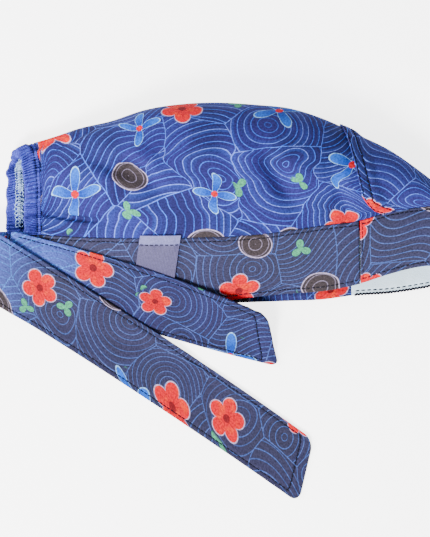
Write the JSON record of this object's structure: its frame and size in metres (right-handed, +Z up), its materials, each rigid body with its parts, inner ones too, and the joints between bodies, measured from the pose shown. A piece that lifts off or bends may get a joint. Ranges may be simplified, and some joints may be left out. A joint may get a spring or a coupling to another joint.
{
  "type": "tie-back scrub cap",
  "caption": "Soft pouch cap with a brow band, an elastic gathered nape, a towelling sweatband and cloth ties, lying on its side.",
  "frame": {"origin": "on the table, under the middle of the cap and its ties", "axes": "+X from the nape to the forehead, +Y from the rim to the top of the crown, +Z up from the table"},
  "size_m": [0.3156, 0.2546, 0.0536],
  "materials": {
    "printed_cotton": "matte printed cotton blend",
    "white_lining": "soft matte towelling",
    "woven_label": "bare woven tape"
  },
  "bodies": {
    "root": {"crown_back": "printed_cotton", "crown_front": "printed_cotton", "brow_band_near": "printed_cotton", "brow_band_far": "printed_cotton", "brow_band_front": "printed_cotton", "sweatband": "white_lining", "nape_casing": "printed_cotton", "label": "woven_label", "tie_near": "printed_cotton", "tie_far": "printed_cotton"}
  },
  "joints": []
}
